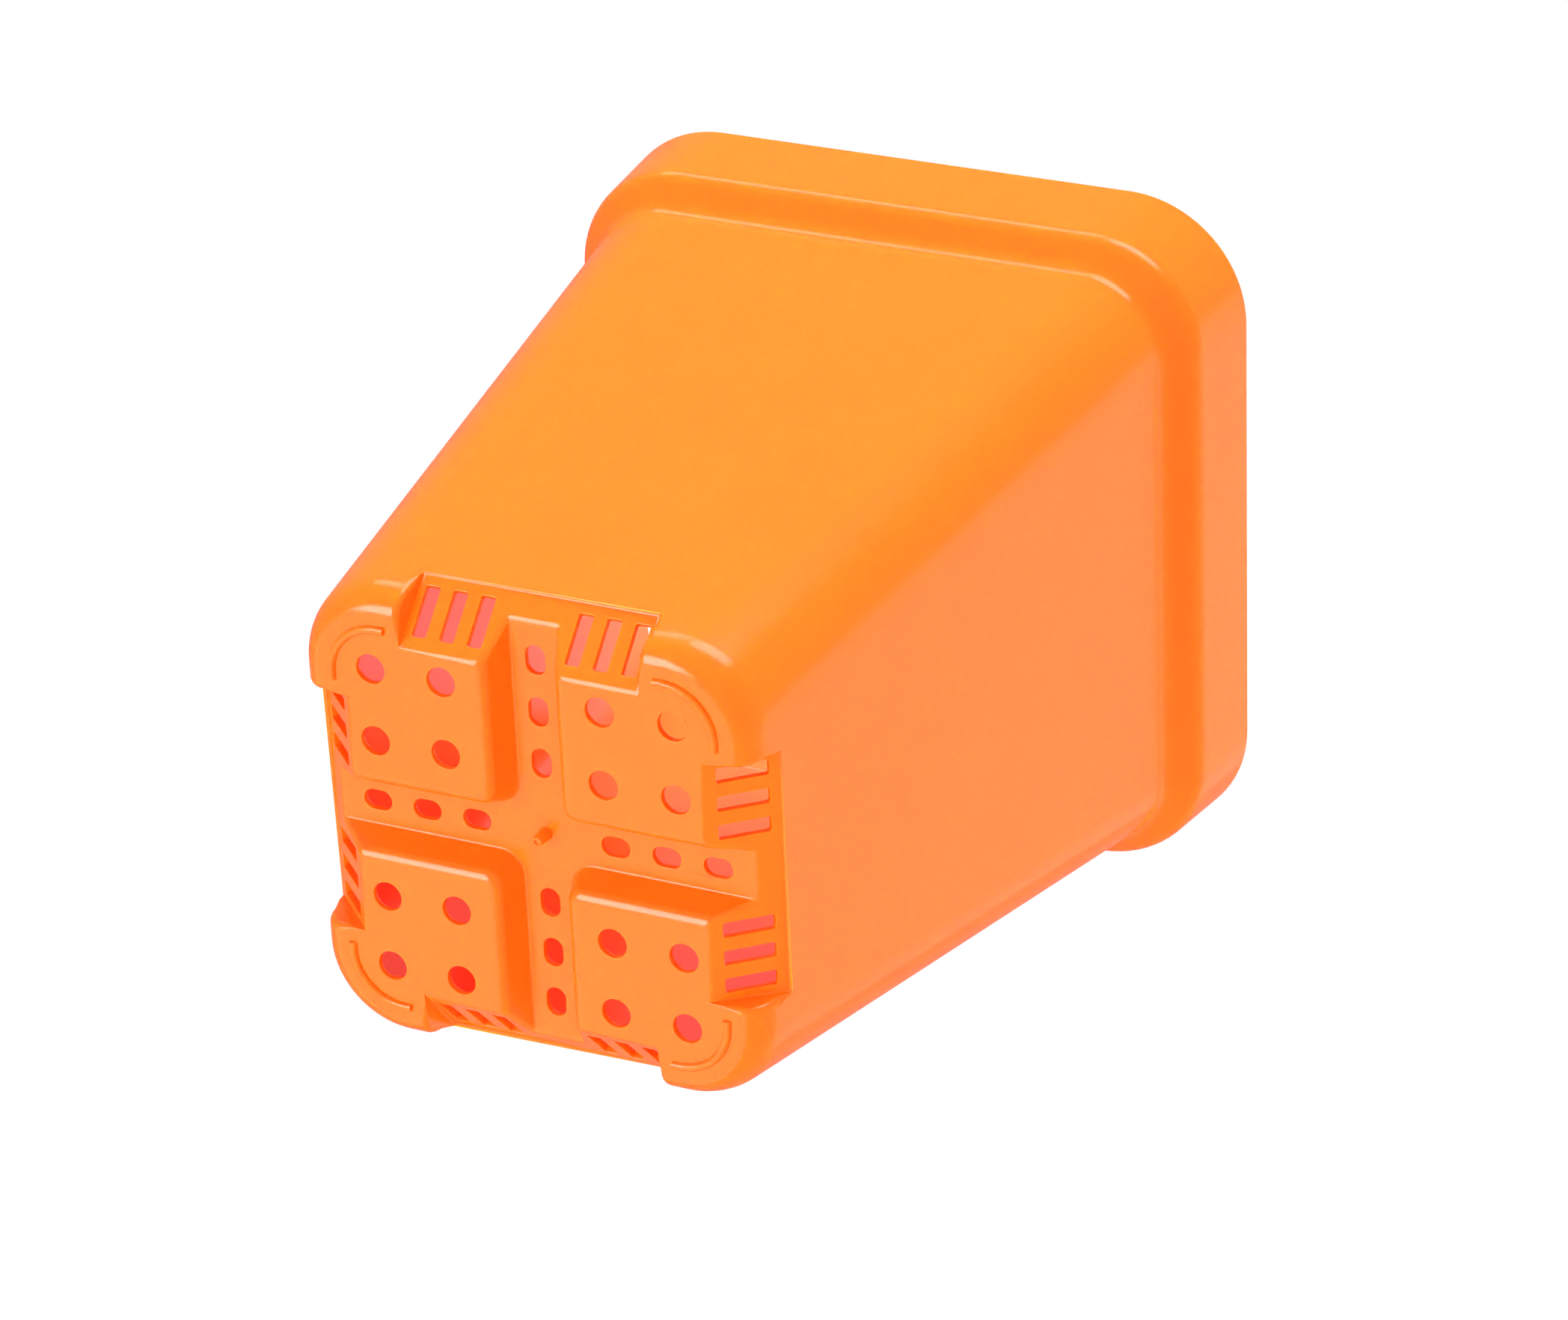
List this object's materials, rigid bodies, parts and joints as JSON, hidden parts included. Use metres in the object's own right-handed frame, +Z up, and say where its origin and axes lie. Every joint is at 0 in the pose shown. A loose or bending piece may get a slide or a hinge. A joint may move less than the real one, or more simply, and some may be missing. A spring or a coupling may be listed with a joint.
{
  "type": "square seed starting pot",
  "caption": "Square thin-walled nursery pot with a stepped collar and a base of pads, drain holes, vents and a cross channel.",
  "frame": {"origin": "on the ground under the middle of the base, at the level of the rib crests that the pot stands on", "axes": "+Z up, out of the open mouth; +X and +Y along the base's two channel arms, square to the sides"},
  "size_m": [0.1, 0.1, 0.1257],
  "materials": {
    "plastic": "semi-gloss moulded polypropylene"
  },
  "bodies": {
    "root": {"pot": "plastic"}
  },
  "joints": []
}
